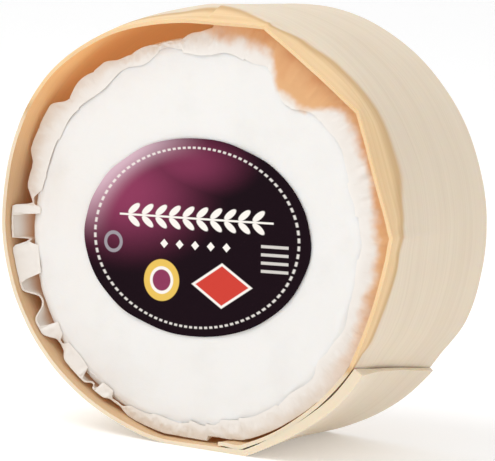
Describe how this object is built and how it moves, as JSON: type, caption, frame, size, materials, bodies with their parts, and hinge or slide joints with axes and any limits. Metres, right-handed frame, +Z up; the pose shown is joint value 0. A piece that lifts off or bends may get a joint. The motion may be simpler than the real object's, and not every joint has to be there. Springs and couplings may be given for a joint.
{
  "type": "brillat-savarin cheese",
  "caption": "Soft round white-rind cheese with an oval label, wrapped in pleated paper and standing on its rim in an open round poplar veneer box with a creased front edge.",
  "frame": {"origin": "on the floor, straight below the box axis at half the box's depth, on the flat spot that the box stands on", "axes": "+Z up, +Y along the box axis to its closed back, so the open side with the cheese faces -Y"},
  "size_m": [0.1266, 0.0601, 0.1241],
  "materials": {
    "veneer": "raw peeled poplar veneer",
    "board": "raw poplar board",
    "rind": "white bloomy rind",
    "label": "satin printed paper",
    "paper": "thin waxed paper"
  },
  "bodies": {
    "root": {"veneer_wall": "veneer", "back_board": "board", "cheese": "rind", "label": "label", "paper_cup": "paper"}
  },
  "joints": []
}
